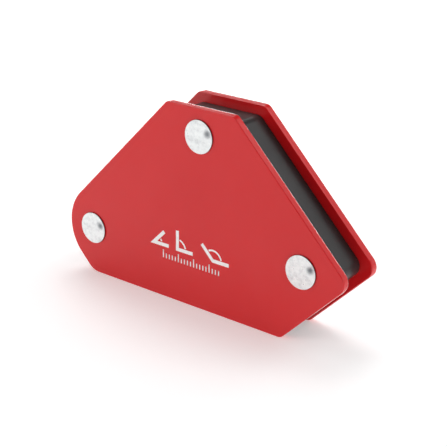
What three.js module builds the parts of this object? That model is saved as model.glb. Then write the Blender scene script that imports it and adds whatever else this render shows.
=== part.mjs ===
// Welding magnet holder: two painted steel plates riveted over a moulded core that carries the magnets.
// Millimetres, +Z up. The holder stands on its bottom edges at z = 0, the plates lie across Y, and the
// origin is under the middle of its length and thickness. The front plate faces -Y.
import * as THREE from "three";

// Six-sided outline, every side at a multiple of 45 degrees. The corners are the sharp ones, before rounding.
const height = 52.15; // bottom side to top side
const bottomSide = 62.4; // length of the bottom side
const leftCornerHeight = 12.75; // the two 90 degree corners, above the bottom side
const rightCornerHeight = 18.5;
const cornerRadius = { bottomLeft: 5, bottomRight: 2, right: 3.2, topRight: 2.2, topLeft: 2.2, left: 12 };

// Thickness, from outer face to outer face.
const plateThickness = 2;
const coreThickness = 10; // the thickness of the magnet blocks too
const seatGap = 0.1; // glue and paint film between a plate and what it rests on

// The core follows the outline, set back from the plates' edges.
const coreSetback = 2.5;
const coreCornerRadius = { bottomLeft: 4, bottomRight: 2.5, right: 3, topRight: 3, topLeft: 3, left: 9.5 };

// Rivets: one near each 90 degree corner, one under the middle of the top side.
const leftRivet = { inset: 13.55, height: 12.6 }; // from the sharp corner, and above the bottom side
const rightRivet = { inset: 13.15, height: 18.8 };
const topRivetDrop = 7; // below the top side
const rivet = { shankRadius: 2, headRadius: 4.2, headHeight: 0.5, rimChamfer: 0.15 };
const runningGap = 0.15; // around each shank, sleeve and magnet
const sleeveWall = 1;

// Magnet blocks: two side by side along the bottom, one above them.
const magnet = { length: 25, height: 15, chamfer: 0.6 };
const magnetWall = 2; // core material between two blocks, and their clearances
const lowestMagnetEdge = 5; // above the bottom side
const magnetRowMiddle = 34.5; // along the bottom side, from its left end

const arcSegments = 10; // per rounded corner
const turnSegments = 40; // per full turn of a round piece

const faces = {
  front: -coreThickness / 2 - plateThickness,
  frontInner: -coreThickness / 2,
  rearInner: coreThickness / 2,
  rear: coreThickness / 2 + plateThickness,
};

const paint = new THREE.MeshStandardMaterial({ color: 0xc8383b, roughness: 0.35, metalness: 0 });
const moulding = new THREE.MeshStandardMaterial({ color: 0x2b2c2d, roughness: 0.6, metalness: 0 });
const ferrite = new THREE.MeshStandardMaterial({ color: 0x3a3836, roughness: 0.8, metalness: 0.2 });
const sleeveSteel = new THREE.MeshStandardMaterial({ color: 0x9a9c9e, roughness: 0.4, metalness: 0.9 });
const rivetSteel = new THREE.MeshStandardMaterial({ color: 0xd6d8da, roughness: 0.45, metalness: 0.9 });

const sharpLeftX = -leftCornerHeight;
const sharpRightX = bottomSide + rightCornerHeight;
const topLeftX = sharpLeftX + (height - leftCornerHeight);
const topRightX = sharpRightX - (height - rightCornerHeight);

// How far rounding a 90 degree corner pulls its tip in.
const tipPullIn = (radius) => radius * (Math.SQRT2 - 1);
const middleX =
  (sharpLeftX + tipPullIn(cornerRadius.left) + sharpRightX - tipPullIn(cornerRadius.right)) / 2;

// The sharp corners, anticlockwise as the front plate is seen, measured from the middle of the length.
const corners = [
  { name: "bottomLeft", at: new THREE.Vector2(-middleX, 0) },
  { name: "bottomRight", at: new THREE.Vector2(bottomSide - middleX, 0) },
  { name: "right", at: new THREE.Vector2(sharpRightX - middleX, rightCornerHeight) },
  { name: "topRight", at: new THREE.Vector2(topRightX - middleX, height) },
  { name: "topLeft", at: new THREE.Vector2(topLeftX - middleX, height) },
  { name: "left", at: new THREE.Vector2(sharpLeftX - middleX, leftCornerHeight) },
];

const rivetCentres = {
  left: new THREE.Vector2(sharpLeftX + leftRivet.inset - middleX, leftRivet.height),
  top: new THREE.Vector2((topLeftX + topRightX) / 2 - middleX, height - topRivetDrop),
  right: new THREE.Vector2(sharpRightX - rightRivet.inset - middleX, rightRivet.height),
};

const magnetStep = (magnet.length + magnetWall) / 2;
const lowMagnetZ = lowestMagnetEdge + magnet.height / 2;
const magnetCentres = {
  left: new THREE.Vector2(magnetRowMiddle - magnetStep - middleX, lowMagnetZ),
  right: new THREE.Vector2(magnetRowMiddle + magnetStep - middleX, lowMagnetZ),
  top: new THREE.Vector2(rivetCentres.top.x, lowMagnetZ + magnet.height + magnetWall),
};

// A convex outline, set back by an even distance, with an arc at each corner.
function roundedOutline(setback, radii) {
  const shape = new THREE.Shape();
  corners.forEach(({ name, at }, i) => {
    const before = corners.at(i - 1).at;
    const after = corners[(i + 1) % corners.length].at;
    const inward = before.clone().sub(at).normalize();
    const onward = after.clone().sub(at).normalize();
    const bisector = inward.clone().add(onward).normalize();
    const sinHalf = Math.abs(bisector.cross(onward));
    const radius = radii[name];
    const centre = at.clone().addScaledVector(bisector, (setback + radius) / sinHalf);
    const fromAngle = Math.atan2(inward.x, -inward.y);
    const toAngle = Math.atan2(-onward.x, onward.y);
    shape.absarc(centre.x, centre.y, radius, fromAngle, toAngle, false);
  });
  shape.closePath();
  return shape;
}

function circle(centre, radius) {
  const path = new THREE.Path();
  path.absarc(centre.x, centre.y, radius, 0, 2 * Math.PI, false);
  return path;
}

// A block's rectangle with its four corners cut off at 45 degrees.
function chamferedRectangle(centre, length, tall, chamfer) {
  const x = length / 2;
  const z = tall / 2;
  const points = [
    [x - chamfer, -z],
    [x, chamfer - z],
    [x, z - chamfer],
    [x - chamfer, z],
    [chamfer - x, z],
    [-x, z - chamfer],
    [-x, chamfer - z],
    [chamfer - x, -z],
  ];
  return points.map(([px, pz]) => new THREE.Vector2(centre.x + px, centre.y + pz));
}

// Extrudes an outline drawn in X and Z from its face nearest the front to its face nearest the rear.
function slab(name, shape, nearY, farY, material, curveSegments = arcSegments) {
  const geometry = new THREE.ExtrudeGeometry(shape, {
    depth: farY - nearY,
    bevelEnabled: false,
    curveSegments,
  });
  const mesh = new THREE.Mesh(geometry, material);
  mesh.name = name;
  mesh.rotation.x = Math.PI / 2;
  mesh.position.y = farY;
  return mesh;
}

// Turns a profile of [radius, y] points about an axis parallel to Y.
function turned(name, profile, centre, material) {
  const points = profile.map(([radius, y]) => new THREE.Vector2(radius, y));
  const mesh = new THREE.Mesh(new THREE.LatheGeometry(points, turnSegments), material);
  mesh.name = name;
  mesh.position.set(centre.x, 0, centre.y);
  return mesh;
}

function plate(name, nearY) {
  const shape = roundedOutline(0, cornerRadius);
  const holeRadius = rivet.shankRadius + runningGap;
  shape.holes = Object.values(rivetCentres).map((centre) => circle(centre, holeRadius));
  return slab(name, shape, nearY, nearY + plateThickness, paint);
}

// The moulded core, with a through pocket for each magnet and a through hole for each sleeve.
function coreFrame() {
  const shape = roundedOutline(coreSetback, coreCornerRadius);
  const holeRadius = rivet.shankRadius + runningGap + sleeveWall + runningGap;
  const sleeveHoles = Object.values(rivetCentres).map((centre) => circle(centre, holeRadius));
  const pockets = Object.values(magnetCentres).map(
    (centre) =>
      new THREE.Path(
        chamferedRectangle(
          centre,
          magnet.length + 2 * runningGap,
          magnet.height + 2 * runningGap,
          magnet.chamfer,
        ),
      ),
  );
  shape.holes = [...sleeveHoles, ...pockets];
  return slab("core_frame", shape, faces.frontInner + seatGap, faces.rearInner - seatGap, moulding);
}

function magnetBlock(name, centre) {
  const shape = new THREE.Shape(
    chamferedRectangle(centre, magnet.length, magnet.height, magnet.chamfer),
  );
  return slab(name, shape, faces.frontInner + seatGap, faces.rearInner - seatGap, ferrite);
}

function spacerSleeve(name, centre) {
  const bore = rivet.shankRadius + runningGap;
  const outside = bore + sleeveWall;
  const nearY = faces.frontInner + seatGap;
  const farY = faces.rearInner - seatGap;
  const profile = [
    [bore, nearY],
    [outside, nearY],
    [outside, farY],
    [bore, farY],
    [bore, nearY],
  ];
  return turned(name, profile, centre, sleeveSteel);
}

// A solid rivet with the same flat head on both faces.
function setRivet(name, centre) {
  const seat = faces.rear + seatGap;
  const top = faces.rear + rivet.headHeight;
  const half = [
    [rivet.shankRadius, seat],
    [rivet.headRadius, seat],
    [rivet.headRadius, top - rivet.rimChamfer],
    [rivet.headRadius - rivet.rimChamfer, top],
    [0, top],
  ];
  const otherHalf = half.map(([radius, y]) => [radius, -y]).reverse();
  return turned(name, [...otherHalf, ...half], centre, rivetSteel);
}

const holder = new THREE.Group();
holder.add(plate("front_plate", faces.front));
holder.add(plate("rear_plate", faces.rearInner));
holder.add(coreFrame());
for (const [place, centre] of Object.entries(magnetCentres)) {
  holder.add(magnetBlock(`magnet_${place}`, centre));
}
for (const [place, centre] of Object.entries(rivetCentres)) {
  holder.add(spacerSleeve(`spacer_sleeve_${place}`, centre));
  holder.add(setRivet(`rivet_${place}`, centre));
}

export default holder;
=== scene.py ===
"""Welding magnet holder: two glossy red steel plates riveted over a satin black core.
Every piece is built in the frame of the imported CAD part, in metres, +Z up, front plate towards -Y."""
import math

import bmesh
import bpy
from mathutils import Matrix, Vector, geometry, noise


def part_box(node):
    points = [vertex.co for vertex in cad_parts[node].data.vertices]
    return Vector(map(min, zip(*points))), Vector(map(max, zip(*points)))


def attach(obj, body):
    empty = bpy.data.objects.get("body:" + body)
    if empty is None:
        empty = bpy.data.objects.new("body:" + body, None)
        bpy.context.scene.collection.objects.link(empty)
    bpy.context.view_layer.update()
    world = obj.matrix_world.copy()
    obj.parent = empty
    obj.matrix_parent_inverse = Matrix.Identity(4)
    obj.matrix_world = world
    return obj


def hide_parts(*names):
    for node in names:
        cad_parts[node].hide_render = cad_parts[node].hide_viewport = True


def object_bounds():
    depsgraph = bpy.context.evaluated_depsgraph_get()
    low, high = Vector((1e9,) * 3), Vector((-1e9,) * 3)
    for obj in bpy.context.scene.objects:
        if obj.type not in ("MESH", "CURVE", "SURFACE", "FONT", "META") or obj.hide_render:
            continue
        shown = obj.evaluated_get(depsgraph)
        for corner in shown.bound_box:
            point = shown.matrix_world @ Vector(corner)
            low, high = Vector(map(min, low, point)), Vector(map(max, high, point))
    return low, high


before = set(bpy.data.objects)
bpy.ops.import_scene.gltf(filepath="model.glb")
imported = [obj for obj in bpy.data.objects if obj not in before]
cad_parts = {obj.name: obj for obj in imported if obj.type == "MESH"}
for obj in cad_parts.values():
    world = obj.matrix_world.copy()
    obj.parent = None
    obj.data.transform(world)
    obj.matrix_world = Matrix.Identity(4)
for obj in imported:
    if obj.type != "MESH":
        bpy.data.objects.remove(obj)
cad_low, cad_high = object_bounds()

MM = 0.001

# The six-sided outline, as the CAD part has it: where its sharp corners are, and the radius of each.
HEIGHT = cad_high.z - cad_low.z
BOTTOM_SIDE = 62.4 * MM
LEFT_CORNER_HEIGHT = 12.75 * MM
RIGHT_CORNER_HEIGHT = 18.5 * MM
CORNER_NAMES = ("bottom_left", "bottom_right", "right", "top_right", "top_left", "left")
PLATE_RADII = dict(zip(CORNER_NAMES, (r * MM for r in (5, 2, 3.2, 2.2, 2.2, 12))))
CORE_RADII = dict(zip(CORNER_NAMES, (r * MM for r in (4, 2.5, 3, 3, 3, 9.5))))
CORE_SETBACK = 2.5 * MM

# Rounding of the edges: how far in from the edge, and how far along the side. The plates' inner
# edges are rolled over by the shears that cut them.
OUTER_RIM = Vector((0.22, 0.22)) * MM
ROLLED_RIM = Vector((0.14, 0.6)) * MM
CORE_RIM = Vector((0.2, 0.2)) * MM
MAGNET_RIM = Vector((0.3, 0.3)) * MM
HOLE_RIM = Vector((0.12, 0.12)) * MM
SLEEVE_EDGE = 0.15 * MM
MAGNET_CORNER_RADIUS = 0.6 * MM

# The hairline left between pieces that touch, and the clearance round shanks, sleeves and magnets.
HAIRLINE = 0.02 * MM
CLEARANCE = 0.15 * MM

# Rivets: a crowned head with a chamfer under it, uneven press marks and one deeper dent.
HEAD_CROWN = 0.06 * MM
HEAD_RIM = 0.07 * MM
HEAD_UNDERCUT = 0.06 * MM
PRESS_MARK_SIZE = 1.6 * MM
PRESS_MARK_DEPTH = 0.03 * MM
PRESS_MARK_FADE = 6
NOISE_STEP_PER_RIVET = 7.3
NOISE_STEP_PER_SIDE = 3.1
DENT_PLACE = Vector((2.75, 1.25)) * MM
DENT_RADIUS = 1.5 * MM
DENT_DEPTH = 0.07 * MM
SHANK_RADIUS = 2 * MM

# The coated edges waver a little, as powder coat does over a sheared edge.
WAVER_DEPTH = 0.05 * MM
WAVER_LENGTH = 1.3 * MM

# Print on the front plate: a row of angle marks, and a scale below it.
MARKED_ANGLES = (45, 90, 135)
MARKS_START = -13.8 * MM
MARKS_FOOT = 14.3 * MM
MARK_ARM = 5 * MM
MARK_WIDTH = 0.95 * MM
MARK_FINE_WIDTH = 0.45 * MM
MARK_ARC_RADIUS = 2.7 * MM
MARK_GAP = 0.25 * MM
MARK_SPACING = 2.9 * MM
SCALE_START = -10.6 * MM
SCALE_FOOT = 10.8 * MM
SCALE_TICKS = 19
SCALE_STEP = 1 * MM
SCALE_LONG_EVERY = 5
SCALE_LONG_TICK = 2.2 * MM
SCALE_SHORT_TICK = 1.3 * MM
SCALE_TICK_WIDTH = 0.34 * MM
INK_THICKNESS = 0.02 * MM

# How finely the meshes are cut.
ARC_STEPS = 24
SIDE_STEP = 0.8 * MM
RIM_STEPS = 8
TURN_STEPS = 96
BLOCK_CORNER_STEPS = 6
MARK_ARC_STEPS = 16
HEAD_FACE_RINGS = 22

# The fill keeps triangles inside the outline only, and joins points closer than this, in mm.
INSIDE_ONLY = 1
FILL_TOLERANCE = 1e-6

# Sizes of the patterns in the materials, and the depth of their bumps.
PAINT_TONE_SIZE = 22 * MM
PAINT_GLOSS_SIZE = 6 * MM
ORANGE_PEEL_SIZE = 0.9 * MM
ORANGE_PEEL_DEPTH = 0.003 * MM
PAINT_IOR = 1.45
MOULDING_TONE_SIZE = 9 * MM
MOULDING_GLOSS_SIZE = 3 * MM
MOULDING_GRAIN_SIZE = 0.16 * MM
MOULDING_GRAIN_DEPTH = 0.01 * MM
FERRITE_TONE_SIZE = 1.5 * MM
FERRITE_PORE_SIZE = 0.2 * MM
FERRITE_PORE_DEPTH = 0.03 * MM
SLEEVE_TONE_SIZE = 2 * MM
SLEEVE_GLOSS_SIZE = 1.2 * MM
SLEEVE_MARK_SIZE = 0.8 * MM
SLEEVE_MARK_DEPTH = 0.005 * MM
ZINC_PATCH_SIZE = 1.5 * MM
ZINC_GLOSS_SIZE = 1.1 * MM
ZINC_SCRATCH_SIZE = 0.35 * MM
ZINC_SCRATCH_DEPTH = 0.01 * MM
INK_TONE_SIZE = 1.2 * MM
INK_MESH_SIZE = 0.25 * MM
INK_MESH_DEPTH = 0.004 * MM

# Studio, in metres: softboxes round the holder on a pale floor that glows a little, more so far away.
# Two narrow strips low at the back draw the bright line along the front plate's inner edge.
SOFTBOX_SIZE = 0.5
SOFTBOX_DISTANCE = 0.8
STRIP_WIDTH = 0.24
STRIP_HEIGHT = 0.09
FLOOR_SIZE = 3
FLOOR_COLOUR = (0.9, 0.9, 0.9, 1)
FLOOR_ROUGHNESS = 0.9
ROOM_LIGHT = 0.08
FLOOR_GLOW = 0.32
NEAR_FLOOR = 0.3
FAR_FLOOR = 1.2
HORIZON_GLOW = 0.55
HORIZON_TOP = math.radians(10)
CEILING_START = math.radians(30)

# Camera: seen from the right of the front plate and above it.
VIEW_YAW = math.radians(38.53)
VIEW_PITCH = math.radians(21.48)
VIEW_ROLL = math.radians(0.745)
LENS_MM = 96.6
VIEW_DISTANCE = 297.8 * MM
VIEW_TARGET = Vector((3.17, 0, 21.43)) * MM
NEAR_CLIP = 0.01


# ---------------------------------------------------------------- outlines

def corner_points():
    """The sharp corners in X and Z, anticlockwise seen from the front."""
    tip = math.sqrt(2) - 1
    left_tip = -LEFT_CORNER_HEIGHT + PLATE_RADII["left"] * tip
    start = cad_low.x - left_tip
    right_x = BOTTOM_SIDE + RIGHT_CORNER_HEIGHT
    places = (
        (0, 0),
        (BOTTOM_SIDE, 0),
        (right_x, RIGHT_CORNER_HEIGHT),
        (right_x - (HEIGHT - RIGHT_CORNER_HEIGHT), HEIGHT),
        (HEIGHT - 2 * LEFT_CORNER_HEIGHT, HEIGHT),
        (-LEFT_CORNER_HEIGHT, LEFT_CORNER_HEIGHT),
    )
    return [Vector((start + x, z)) for x, z in places]


def arc(centre, radius, start, end, steps):
    """Points from one angle to another, both included."""
    angles = [start + (end - start) * i / steps for i in range(steps + 1)]
    return [centre + radius * Vector((math.cos(a), math.sin(a))) for a in angles]


def holder_outline(radii, setback):
    """The holder's outline, set back evenly, with the same number of points at any setback."""
    corners = corner_points()
    arcs = []
    for i, (name, corner) in enumerate(zip(CORNER_NAMES, corners)):
        inward = (corners[i - 1] - corner).normalized()
        onward = (corners[(i + 1) % len(corners)] - corner).normalized()
        bisector = (inward + onward).normalized()
        sin_half = abs(bisector.x * onward.y - bisector.y * onward.x)
        radius = radii[name]
        first_setback = CORE_SETBACK if radii is CORE_RADII else 0
        centre = corner + bisector * (first_setback + radius) / sin_half
        start = math.atan2(inward.x, -inward.y)
        turn = math.pi - 2 * math.asin(sin_half)
        arcs.append(arc(centre, radius - setback, start, start + turn, ARC_STEPS))
    points = []
    for i, one in enumerate(arcs):
        side_start = one[-1]
        side_end = arcs[(i + 1) % len(arcs)][0]
        steps = round((side_end - side_start).length / SIDE_STEP)
        points += one + [side_start.lerp(side_end, k / steps) for k in range(1, steps)]
    return points


def wavering(points, y):
    """Draws each point of an outline in a little, by an amount that changes slowly along the edge."""
    drawn_in = []
    for i, point in enumerate(points):
        along = (points[(i + 1) % len(points)] - points[i - 1]).normalized()
        inward = Vector((-along.y, along.x))
        amount = 0.5 + 0.5 * noise.noise(Vector((point.x, y, point.y)) / WAVER_LENGTH)
        drawn_in.append(point + inward * WAVER_DEPTH * amount)
    return drawn_in


def ring_outline(centre, radius, setback):
    """A circle; a setback makes a hole wider, towards the material."""
    full = arc(centre, radius + setback, 0, 2 * math.pi, TURN_STEPS)
    return full[:-1]


def block_outline(centre, width, tall, radius, setback):
    """A rounded rectangle. A negative setback makes it larger."""
    x = width / 2 - radius
    z = tall / 2 - radius
    points = []
    for i, (sx, sz) in enumerate(((1, -1), (1, 1), (-1, 1), (-1, -1))):
        start = (i - 1) * math.pi / 2
        at = centre + Vector((sx * x, sz * z))
        points += arc(at, radius - setback, start, start + math.pi / 2, BLOCK_CORNER_STEPS)
    return points


# ---------------------------------------------------------------- mesh building

def rim_profile(near_y, far_y, near_rim, far_rim):
    """(setback, y) pairs from the near face, round its rim, along the side and round the far rim."""
    quarter = [math.pi / 2 * i / RIM_STEPS for i in range(RIM_STEPS + 1)]
    turns = [(1 - math.sin(a), 1 - math.cos(a)) for a in quarter]
    near = [(near_rim.x * inwards, near_y + near_rim.y * along) for inwards, along in turns]
    far = [(far_rim.x * inwards, far_y - far_rim.y * along) for inwards, along in turns]
    return near + far[::-1]


def add_loop(bm, points, y):
    return [bm.verts.new((p.x, y, p.y)) for p in points]


def bridge(bm, one, other):
    for i in range(len(one)):
        j = (i + 1) % len(one)
        bm.faces.new((one[i], one[j], other[j], other[i]))


def fill(bm, loops):
    """Fills the flat face between the first loop and the convex holes in it, the other loops."""
    verts = []
    owners = []
    edges = []
    for number, loop in enumerate(loops):
        start = len(verts)
        verts += loop
        owners += [number] * len(loop)
        edges += [(start + i, start + (i + 1) % len(loop)) for i in range(len(loop))]
    points = [Vector((vert.co.x, vert.co.z)) / MM for vert in verts]
    filled = geometry.delaunay_2d_cdt(points, edges, [], INSIDE_ONLY, FILL_TOLERANCE)
    triangles = filled[2]
    sources = filled[3]
    for triangle in triangles:
        corners = [sources[i][0] for i in triangle]
        touched = {owners[i] for i in corners}
        if touched == {0} or len(touched) > 1:
            bm.faces.new([verts[i] for i in corners])


def face_outwards(bm):
    """Turns every face outwards. A sharp rim can mislead Blender's own test, so the volume decides."""
    bmesh.ops.recalc_face_normals(bm, faces=bm.faces)
    if bm.calc_volume(signed=True) < 0:
        bmesh.ops.reverse_faces(bm, faces=bm.faces)


def slab(name, outline, holes, near_y, far_y, near_rim, far_rim, finish=lambda points, y: points):
    """A plate with rounded rims. outline and each hole are functions of the setback from their own edge,
    and finish may move the points of the outside."""
    bm = bmesh.new()
    near_loops = []
    far_loops = []
    walls = [(lambda s, y: finish(outline(s), y), near_rim, far_rim)]
    walls += [(lambda s, y, hole=hole: hole(s), HOLE_RIM, HOLE_RIM) for hole in holes]
    for shape, near, far in walls:
        loops = [add_loop(bm, shape(s, y), y) for s, y in rim_profile(near_y, far_y, near, far)]
        for one, other in zip(loops, loops[1:]):
            bridge(bm, one, other)
        near_loops.append(loops[0])
        far_loops.append(loops[-1])
    fill(bm, near_loops)
    fill(bm, far_loops)
    face_outwards(bm)
    return finished_object(name, bm)


def turned(name, centre, profile, lift=None):
    """Turns a profile of (radius, y) about the axis through centre. lift moves a point along it."""
    bm = bmesh.new()
    loops = []
    for radius, y in profile:
        if radius == 0:
            loops.append([bm.verts.new((centre.x, y, centre.y))])
        else:
            points = ring_outline(centre, radius, 0)
            loops.append(add_loop(bm, points, y))
    for one, other in zip(loops, loops[1:]):
        if len(one) == 1 or len(other) == 1:
            tip, ring = (one[0], other) if len(one) == 1 else (other[0], one)
            for i in range(len(ring)):
                bm.faces.new((tip, ring[i], ring[(i + 1) % len(ring)]))
        else:
            bridge(bm, one, other)
    if lift:
        for vert in bm.verts:
            vert.co.y += lift(vert.co)
    face_outwards(bm)
    return finished_object(name, bm)


def turned_ring(name, centre, profile):
    """Turns a closed profile of (radius, y), which stays clear of the axis, about it."""
    bm = bmesh.new()
    loops = [add_loop(bm, ring_outline(centre, radius, 0), y) for radius, y in profile]
    for i, loop in enumerate(loops):
        bridge(bm, loop, loops[(i + 1) % len(loops)])
    face_outwards(bm)
    return finished_object(name, bm)


def finished_object(name, bm):
    mesh = bpy.data.meshes.new(name)
    for face in bm.faces:
        face.smooth = True
    bm.to_mesh(mesh)
    bm.free()
    obj = bpy.data.objects.new(name, mesh)
    bpy.context.scene.collection.objects.link(obj)
    weighted = obj.modifiers.new("flat faces stay flat", "WEIGHTED_NORMAL")
    weighted.mode = "FACE_AREA"
    weighted.weight = 100
    return obj


# ---------------------------------------------------------------- materials

def new_material(name):
    material = bpy.data.materials.new(name)
    material.use_nodes = True
    nodes = material.node_tree.nodes
    shader = nodes["Principled BSDF"]
    return material, nodes, material.node_tree.links, shader


def noise_node(nodes, links, size, detail=2.0, roughness=0.5):
    """Noise whose features are about size metres across, in the object's own space."""
    coordinates = nodes.new("ShaderNodeTexCoord")
    texture = nodes.new("ShaderNodeTexNoise")
    texture.inputs["Scale"].default_value = 1 / size
    texture.inputs["Detail"].default_value = detail
    texture.inputs["Roughness"].default_value = roughness
    links.new(coordinates.outputs["Object"], texture.inputs["Vector"])
    return texture


def ramp_node(nodes, links, source, stops):
    ramp = nodes.new("ShaderNodeValToRGB")
    elements = ramp.color_ramp.elements
    for element, (place, colour) in zip(elements, (stops[0], stops[-1])):
        element.position = place
        element.color = (*colour, 1)
    for place, colour in stops[1:-1]:
        elements.new(place).color = (*colour, 1)
    links.new(source, ramp.inputs["Fac"])
    return ramp


def range_node(nodes, links, source, low, high):
    mapped = nodes.new("ShaderNodeMapRange")
    mapped.inputs["To Min"].default_value = low
    mapped.inputs["To Max"].default_value = high
    links.new(source, mapped.inputs["Value"])
    return mapped


def bump_node(nodes, links, height, distance, strength):
    bump = nodes.new("ShaderNodeBump")
    bump.inputs["Distance"].default_value = distance
    bump.inputs["Strength"].default_value = strength
    links.new(height, bump.inputs["Height"])
    return bump


def red_paint():
    """Glossy powder coat: slight orange peel and slow changes of tone."""
    material, nodes, links, shader = new_material("red_powder_coat")
    tone = noise_node(nodes, links, PAINT_TONE_SIZE, detail=3)
    colour = ramp_node(nodes, links, tone.outputs["Fac"], [
        (0.3, (0.655, 0.0095, 0.0125)),
        (0.7, (0.685, 0.012, 0.015)),
    ])
    links.new(colour.outputs["Color"], shader.inputs["Base Color"])
    gloss = noise_node(nodes, links, PAINT_GLOSS_SIZE, detail=3)
    roughness = range_node(nodes, links, gloss.outputs["Fac"], 0.15, 0.19)
    links.new(roughness.outputs["Result"], shader.inputs["Roughness"])
    peel = noise_node(nodes, links, ORANGE_PEEL_SIZE, detail=1.5)
    bump = bump_node(nodes, links, peel.outputs["Fac"], ORANGE_PEEL_DEPTH, 0.3)
    links.new(bump.outputs["Normal"], shader.inputs["Normal"])
    shader.inputs["IOR"].default_value = PAINT_IOR
    return material


def black_moulding():
    """Satin moulded plastic with a fine spark-eroded grain."""
    material, nodes, links, shader = new_material("black_moulding")
    tone = noise_node(nodes, links, MOULDING_TONE_SIZE, detail=3)
    colour = ramp_node(nodes, links, tone.outputs["Fac"], [
        (0.3, (0.011, 0.012, 0.0125)),
        (0.7, (0.019, 0.0195, 0.02)),
    ])
    links.new(colour.outputs["Color"], shader.inputs["Base Color"])
    gloss = noise_node(nodes, links, MOULDING_GLOSS_SIZE, detail=2)
    roughness = range_node(nodes, links, gloss.outputs["Fac"], 0.26, 0.4)
    links.new(roughness.outputs["Result"], shader.inputs["Roughness"])
    grain = noise_node(nodes, links, MOULDING_GRAIN_SIZE, detail=2)
    bump = bump_node(nodes, links, grain.outputs["Fac"], MOULDING_GRAIN_DEPTH, 0.4)
    links.new(bump.outputs["Normal"], shader.inputs["Normal"])
    return material


def ferrite():
    """Sintered ferrite: dull, mottled dark grey with pores."""
    material, nodes, links, shader = new_material("ferrite")
    tone = noise_node(nodes, links, FERRITE_TONE_SIZE, detail=6)
    colour = ramp_node(nodes, links, tone.outputs["Fac"], [
        (0.3, (0.03, 0.028, 0.026)),
        (0.7, (0.06, 0.055, 0.05)),
    ])
    links.new(colour.outputs["Color"], shader.inputs["Base Color"])
    roughness = range_node(nodes, links, tone.outputs["Fac"], 0.55, 0.8)
    links.new(roughness.outputs["Result"], shader.inputs["Roughness"])
    pores = noise_node(nodes, links, FERRITE_PORE_SIZE, detail=3)
    bump = bump_node(nodes, links, pores.outputs["Fac"], FERRITE_PORE_DEPTH, 0.6)
    links.new(bump.outputs["Normal"], shader.inputs["Normal"])
    return material


def sleeve_steel():
    """Bare turned steel whose tone and gloss vary in patches."""
    material, nodes, links, shader = new_material("sleeve_steel")
    shader.inputs["Metallic"].default_value = 1
    tone = noise_node(nodes, links, SLEEVE_TONE_SIZE, detail=4, roughness=0.6)
    colour = ramp_node(nodes, links, tone.outputs["Fac"], [
        (0.3, (0.45, 0.46, 0.47)),
        (0.68, (0.62, 0.63, 0.64)),
    ])
    links.new(colour.outputs["Color"], shader.inputs["Base Color"])
    gloss = noise_node(nodes, links, SLEEVE_GLOSS_SIZE, detail=3)
    roughness = range_node(nodes, links, gloss.outputs["Fac"], 0.25, 0.4)
    links.new(roughness.outputs["Result"], shader.inputs["Roughness"])
    marks = noise_node(nodes, links, SLEEVE_MARK_SIZE, detail=3)
    bump = bump_node(nodes, links, marks.outputs["Fac"], SLEEVE_MARK_DEPTH, 0.5)
    links.new(bump.outputs["Normal"], shader.inputs["Normal"])
    return material


def rivet_zinc():
    """Zinc plate pressed by the setting tool: mottled, with painted shade read from a mesh attribute: a
    painted shadow and dark reflection on the heads' side walls, a painted dark reflection in the dent.
    """
    material, nodes, links, shader = new_material("rivet_zinc")
    shader.inputs["Metallic"].default_value = 1
    patches = noise_node(nodes, links, ZINC_PATCH_SIZE, detail=5, roughness=0.65)
    plated = ramp_node(nodes, links, patches.outputs["Fac"], [
        (0.3, (0.6, 0.61, 0.62)),
        (0.5, (0.765, 0.785, 0.785)),
        (0.66, (0.835, 0.85, 0.845)),
    ])
    # Painted shade: darkens the heads' side walls (painted shadow and dark reflection) and the dent
    # (painted dark reflection).
    shade_mask = nodes.new("ShaderNodeAttribute")
    shade_mask.attribute_name = "painted_shade"
    painted_shade = nodes.new("ShaderNodeMath")
    painted_shade.operation = "MULTIPLY"
    links.new(shade_mask.outputs["Fac"], painted_shade.inputs[0])
    uneven = range_node(nodes, links, patches.outputs["Fac"], 1.3, 0.7)
    links.new(uneven.outputs["Result"], painted_shade.inputs[1])
    colour = nodes.new("ShaderNodeMix")
    colour.data_type = "RGBA"
    links.new(painted_shade.outputs["Value"], colour.inputs["Factor"])
    links.new(plated.outputs["Color"], colour.inputs["A"])
    colour.inputs["B"].default_value = (0.16, 0.17, 0.185, 1)
    links.new(colour.outputs["Result"], shader.inputs["Base Color"])
    gloss = noise_node(nodes, links, ZINC_GLOSS_SIZE, detail=3)
    roughness = range_node(nodes, links, gloss.outputs["Fac"], 0.2, 0.42)
    links.new(roughness.outputs["Result"], shader.inputs["Roughness"])
    scratches = noise_node(nodes, links, ZINC_SCRATCH_SIZE, detail=3)
    bump = bump_node(nodes, links, scratches.outputs["Fac"], ZINC_SCRATCH_DEPTH, 0.6)
    links.new(bump.outputs["Normal"], shader.inputs["Normal"])
    return material


def white_ink():
    """Screen-printed ink: thin, slightly uneven white."""
    material, nodes, links, shader = new_material("white_ink")
    tone = noise_node(nodes, links, INK_TONE_SIZE, detail=4)
    colour = ramp_node(nodes, links, tone.outputs["Fac"], [
        (0.3, (0.88, 0.87, 0.86)),
        (0.6, (0.97, 0.96, 0.95)),
    ])
    links.new(colour.outputs["Color"], shader.inputs["Base Color"])
    roughness = range_node(nodes, links, tone.outputs["Fac"], 0.35, 0.5)
    links.new(roughness.outputs["Result"], shader.inputs["Roughness"])
    mesh_marks = noise_node(nodes, links, INK_MESH_SIZE, detail=1)
    bump = bump_node(nodes, links, mesh_marks.outputs["Fac"], INK_MESH_DEPTH, 0.3)
    links.new(bump.outputs["Normal"], shader.inputs["Normal"])
    return material


def give(obj, material, slot, *nodes):
    obj.data.materials.append(material)
    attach(obj, "root")
    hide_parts(*nodes)
    return obj


# ---------------------------------------------------------------- the pieces

def node_centre(node):
    low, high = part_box(node)
    return Vector(((low.x + high.x) / 2, (low.z + high.z) / 2))


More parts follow.
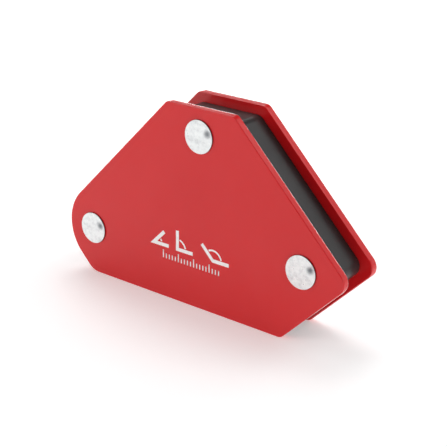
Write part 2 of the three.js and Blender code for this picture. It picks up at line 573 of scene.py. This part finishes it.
def build_plates(material, hole_radius):
    holes = [
        lambda s, c=node_centre(f"rivet_{place}"): ring_outline(c, hole_radius, s)
        for place in ("left", "top", "right")
    ]
    for name in ("front_plate", "rear_plate"):
        low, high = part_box(name)
        near_rim, far_rim = (OUTER_RIM, ROLLED_RIM) if low.y < 0 else (ROLLED_RIM, OUTER_RIM)
        plate = slab(
            f"{name}_painted",
            lambda s: holder_outline(PLATE_RADII, s),
            holes, low.y, high.y, near_rim, far_rim, wavering,
        )
        give(plate, material, "red_paint", name)


def build_core(material):
    inner_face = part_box("front_plate")[1].y
    sleeve_low, sleeve_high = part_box("spacer_sleeve_left")
    sleeve_radius = (sleeve_high.x - sleeve_low.x) / 2
    holes = [
        lambda s, c=node_centre(f"spacer_sleeve_{place}"): ring_outline(c, sleeve_radius + CLEARANCE, s)
        for place in ("left", "top", "right")
    ]
    for place in ("left", "top", "right"):
        low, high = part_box(f"magnet_{place}")
        width = high.x - low.x + 2 * CLEARANCE
        tall = high.z - low.z + 2 * CLEARANCE
        holes.append(
            lambda s, c=node_centre(f"magnet_{place}"), w=width, t=tall:
            block_outline(c, w, t, MAGNET_CORNER_RADIUS, -s)
        )
    core = slab(
        "core_frame_moulded",
        lambda s: holder_outline(CORE_RADII, s),
        holes, inner_face + HAIRLINE, -inner_face - HAIRLINE, CORE_RIM, CORE_RIM,
    )
    give(core, material, "black_moulding", "core_frame")


def build_magnets(material):
    for place in ("left", "top", "right"):
        low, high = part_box(f"magnet_{place}")
        centre = node_centre(f"magnet_{place}")
        magnet = slab(
            f"magnet_{place}_block",
            lambda s: block_outline(centre, high.x - low.x, high.z - low.z, MAGNET_CORNER_RADIUS, s),
            [], low.y, high.y, MAGNET_RIM, MAGNET_RIM,
        )
        give(magnet, material, "ferrite", f"magnet_{place}")


def build_sleeves(material, bore):
    for place in ("left", "top", "right"):
        low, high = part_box(f"spacer_sleeve_{place}")
        outside = (high.x - low.x) / 2
        profile = [
            (bore, low.y + SLEEVE_EDGE),
            (bore + SLEEVE_EDGE, low.y),
            (outside - SLEEVE_EDGE, low.y),
            (outside, low.y + SLEEVE_EDGE),
            (outside, high.y - SLEEVE_EDGE),
            (outside - SLEEVE_EDGE, high.y),
            (bore + SLEEVE_EDGE, high.y),
            (bore, high.y - SLEEVE_EDGE),
        ]
        centre = node_centre(f"spacer_sleeve_{place}")
        sleeve = turned_ring(f"spacer_sleeve_{place}_turned", centre, profile)
        give(sleeve, material, "sleeve_steel", f"spacer_sleeve_{place}")


def head_profile(head_radius, seat, top):
    """Half a rivet's profile, from the shank out under the head, over its rim and in to the axis."""
    crown_start = top - HEAD_CROWN
    rim = [
        (head_radius - HEAD_RIM * (1 - math.cos(a)), crown_start - HEAD_RIM * (1 - math.sin(a)))
        for a in (math.pi / 2 * i / RIM_STEPS for i in range(RIM_STEPS + 1))
    ]
    face_radius = head_radius - HEAD_RIM
    face = []
    for i in range(1, HEAD_FACE_RINGS + 1):
        share = 1 - i / HEAD_FACE_RINGS
        face.append((face_radius * share, top - HEAD_CROWN * share ** 2))
    underside = [
        (SHANK_RADIUS, seat),
        (head_radius - HEAD_UNDERCUT, seat),
        (head_radius, seat + HEAD_UNDERCUT),
    ]
    return underside + rim + face


def dent_amount(from_centre):
    """1 at the bottom of the dent that the setting tool leaves in a head, 0 outside it."""
    return max(0, 1 - ((from_centre - DENT_PLACE).length / DENT_RADIUS) ** 2) ** 2


def build_rivets(material):
    plate_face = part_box("rear_plate")[1].y
    for number, place in enumerate(("left", "top", "right")):
        low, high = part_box(f"rivet_{place}")
        centre = node_centre(f"rivet_{place}")
        radius = (high.x - low.x) / 2
        half = head_profile(radius, plate_face + HAIRLINE, high.y - PRESS_MARK_DEPTH)
        profile = [(r, -y) for r, y in reversed(half)] + half

        def press_marks(co, centre=centre, radius=radius, offset=number * NOISE_STEP_PER_RIVET):
            """Shallow dents on both heads, fading out towards the rim."""
            if abs(co.y) < plate_face + HEAD_UNDERCUT:
                return 0
            from_centre = Vector((co.x, co.z)) - centre
            fade = max(0, 1 - (from_centre.length / radius) ** PRESS_MARK_FADE)
            side = 1 if co.y > 0 else -1
            step = Vector((offset, 0, side * NOISE_STEP_PER_SIDE))
            uneven = PRESS_MARK_DEPTH * noise.noise(Vector((co.x, co.z, 0)) / PRESS_MARK_SIZE + step)
            return side * fade * (uneven - DENT_DEPTH * dent_amount(from_centre))

        rivet = turned(f"rivet_{place}_set", centre, profile, press_marks)
        # The shank and the heads' side walls get painted shade all over, a painted shadow and dark
        # reflection; the heads' faces get it only in the dent, as a painted dark reflection.
        wall_top = high.y - PRESS_MARK_DEPTH - HEAD_CROWN - HEAD_RIM
        painted_shade = rivet.data.attributes.new("painted_shade", "FLOAT", "POINT")
        for vert, value in zip(rivet.data.vertices, painted_shade.data):
            on_wall = abs(vert.co.y) < wall_top + HAIRLINE
            value.value = 1 if on_wall else dent_amount(Vector((vert.co.x, vert.co.z)) - centre)
        give(rivet, material, "rivet_metal", f"rivet_{place}")


def angle_mark(corner, angle, arm, width):
    """The outline of two arms that leave a corner, one level and one turned up by angle."""
    level = Vector((1, 0))
    raised = Vector((math.cos(angle), math.sin(angle)))
    level_side = Vector((0, width / 2))
    raised_side = Vector((math.sin(angle), -math.cos(angle))) * width / 2
    mitre = Vector((math.cos(angle / 2), math.sin(angle / 2))) * width / 2 / math.sin(angle / 2)
    return [
        corner - mitre,
        corner + level * arm - level_side,
        corner + level * arm + level_side,
        corner + mitre,
        corner + raised * arm + raised_side,
        corner + raised * arm - raised_side,
    ]


def arc_mark(centre, radius, width, start, end):
    outer = arc(centre, radius + width / 2, start, end, MARK_ARC_STEPS)
    inner = arc(centre, radius - width / 2, start, end, MARK_ARC_STEPS)
    return outer + inner[::-1]


def tick_mark(x, foot, tall, width):
    return [
        Vector((x - width / 2, foot)),
        Vector((x + width / 2, foot)),
        Vector((x + width / 2, foot + tall)),
        Vector((x - width / 2, foot + tall)),
    ]


def build_print(material):
    """White marks on the front plate: the angles that the sides make, above a plain scale."""
    marks = []
    corner_x = MARKS_START
    for degrees in MARKED_ANGLES:
        angle = math.radians(degrees)
        corner_x -= min(0, math.cos(angle)) * MARK_ARM
        corner = Vector((corner_x, MARKS_FOOT))
        marks.append(angle_mark(corner, angle, MARK_ARM, MARK_WIDTH))
        clear = (MARK_WIDTH / 2 + MARK_GAP) / MARK_ARC_RADIUS
        marks.append(arc_mark(corner, MARK_ARC_RADIUS, MARK_FINE_WIDTH, clear, angle - clear))
        corner_x += MARK_ARM + MARK_SPACING
    for i in range(SCALE_TICKS):
        tall = SCALE_LONG_TICK if i % SCALE_LONG_EVERY == 0 else SCALE_SHORT_TICK
        marks.append(tick_mark(SCALE_START + i * SCALE_STEP, SCALE_FOOT, tall, SCALE_TICK_WIDTH))
    plate_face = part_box("front_plate")[0].y
    bm = bmesh.new()
    for outline in marks:
        front = add_loop(bm, outline, plate_face - INK_THICKNESS)
        back = add_loop(bm, outline, plate_face)
        bridge(bm, front, back)
        bm.faces.new(front)
        bm.faces.new(back)
    face_outwards(bm)
    ink = finished_object("front_plate_printed_marks", bm)
    ink.data.materials.append(material)
    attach(ink, "root")


# ---------------------------------------------------------------- stage

def build_stage():
    bm = bmesh.new()
    bmesh.ops.create_grid(bm, x_segments=4, y_segments=4, size=FLOOR_SIZE)
    mesh = bpy.data.meshes.new("floor")
    bm.to_mesh(mesh)
    bm.free()
    floor = bpy.data.objects.new("floor", mesh)
    bpy.context.scene.collection.objects.link(floor)
    material, nodes, links, shader = new_material("pale_floor")
    shader.inputs["Base Color"].default_value = FLOOR_COLOUR
    shader.inputs["Roughness"].default_value = FLOOR_ROUGHNESS
    shader.inputs["Emission Color"].default_value = (1, 1, 1, 1)
    coordinates = nodes.new("ShaderNodeTexCoord")
    distance = nodes.new("ShaderNodeVectorMath")
    distance.operation = "LENGTH"
    links.new(coordinates.outputs["Object"], distance.inputs[0])
    glow = range_node(nodes, links, distance.outputs["Value"], FLOOR_GLOW, HORIZON_GLOW)
    glow.interpolation_type = "SMOOTHSTEP"
    glow.inputs["From Min"].default_value = NEAR_FLOOR
    glow.inputs["From Max"].default_value = FAR_FLOOR
    links.new(glow.outputs["Result"], shader.inputs["Emission Strength"])
    mesh.materials.append(material)


def add_softbox(name, azimuth, elevation, radiance, width=SOFTBOX_SIZE, height=SOFTBOX_SIZE):
    """A lamp that faces the holder. Azimuth 0 is in front of the front plate and 90 to its right."""
    around = math.radians(azimuth)
    up = math.radians(elevation)
    towards = Vector((
        math.sin(around) * math.cos(up),
        -math.cos(around) * math.cos(up),
        math.sin(up),
    ))
    light = bpy.data.lights.new(name, "AREA")
    light.shape = "RECTANGLE"
    light.size = width
    light.size_y = height
    light.energy = radiance * math.pi * width * height
    obj = bpy.data.objects.new(name, light)
    obj.location = (cad_low + cad_high) / 2 + towards * SOFTBOX_DISTANCE
    obj.rotation_euler = (-towards).to_track_quat("-Z", "Y").to_euler()
    bpy.context.scene.collection.objects.link(obj)


def build_lights():
    world = bpy.data.worlds.new("studio")
    world.use_nodes = True
    background = world.node_tree.nodes["Background"]
    background.inputs["Color"].default_value = (1, 1, 1, 1)
    nodes = world.node_tree.nodes
    links = world.node_tree.links
    coordinates = nodes.new("ShaderNodeTexCoord")
    height = nodes.new("ShaderNodeSeparateXYZ")
    links.new(coordinates.outputs["Generated"], height.inputs["Vector"])
    strength = range_node(nodes, links, height.outputs["Z"], HORIZON_GLOW, ROOM_LIGHT)
    strength.interpolation_type = "SMOOTHSTEP"
    strength.inputs["From Min"].default_value = math.sin(HORIZON_TOP)
    strength.inputs["From Max"].default_value = math.sin(CEILING_START)
    links.new(strength.outputs["Result"], background.inputs["Strength"])
    bpy.context.scene.world = world
    add_softbox("key_above_back_left", 225, 55, 3.25)
    add_softbox("above_back_right", 135, 55, 1.85)
    add_softbox("above_left", 270, 55, 0.95)
    add_softbox("front_left", 330, 22, 2.1)
    add_softbox("right", 90, 22, 1.6)
    add_softbox("low_back_right", 150, 22, 0.73)
    add_softbox("low_back_strip", 178, 10, 16, STRIP_WIDTH, STRIP_HEIGHT)
    add_softbox("low_back_left_strip", 217, 6, 8, STRIP_WIDTH, STRIP_HEIGHT)


def build_camera():
    forward = Vector((
        -math.sin(VIEW_YAW) * math.cos(VIEW_PITCH),
        math.cos(VIEW_YAW) * math.cos(VIEW_PITCH),
        -math.sin(VIEW_PITCH),
    ))
    level_right = Vector((math.cos(VIEW_YAW), math.sin(VIEW_YAW), 0))
    level_up = level_right.cross(forward)
    right = level_right * math.cos(VIEW_ROLL) + level_up * math.sin(VIEW_ROLL)
    up = level_up * math.cos(VIEW_ROLL) - level_right * math.sin(VIEW_ROLL)
    camera = bpy.data.objects.new("camera", bpy.data.cameras.new("camera"))
    camera.data.lens = LENS_MM
    camera.data.clip_start = NEAR_CLIP
    turn = Matrix((right, up, -forward)).transposed().to_4x4()
    camera.matrix_world = Matrix.Translation(VIEW_TARGET - forward * VIEW_DISTANCE) @ turn
    bpy.context.scene.collection.objects.link(camera)
    bpy.context.scene.camera = camera


build_camera()
build_stage()
build_lights()

sleeve_bore = SHANK_RADIUS + CLEARANCE
build_plates(red_paint(), sleeve_bore)
build_core(black_moulding())
build_magnets(ferrite())
build_sleeves(sleeve_steel(), sleeve_bore)
build_print(white_ink())
build_rivets(rivet_zinc())

bpy.context.scene.view_settings.view_transform = "Standard"
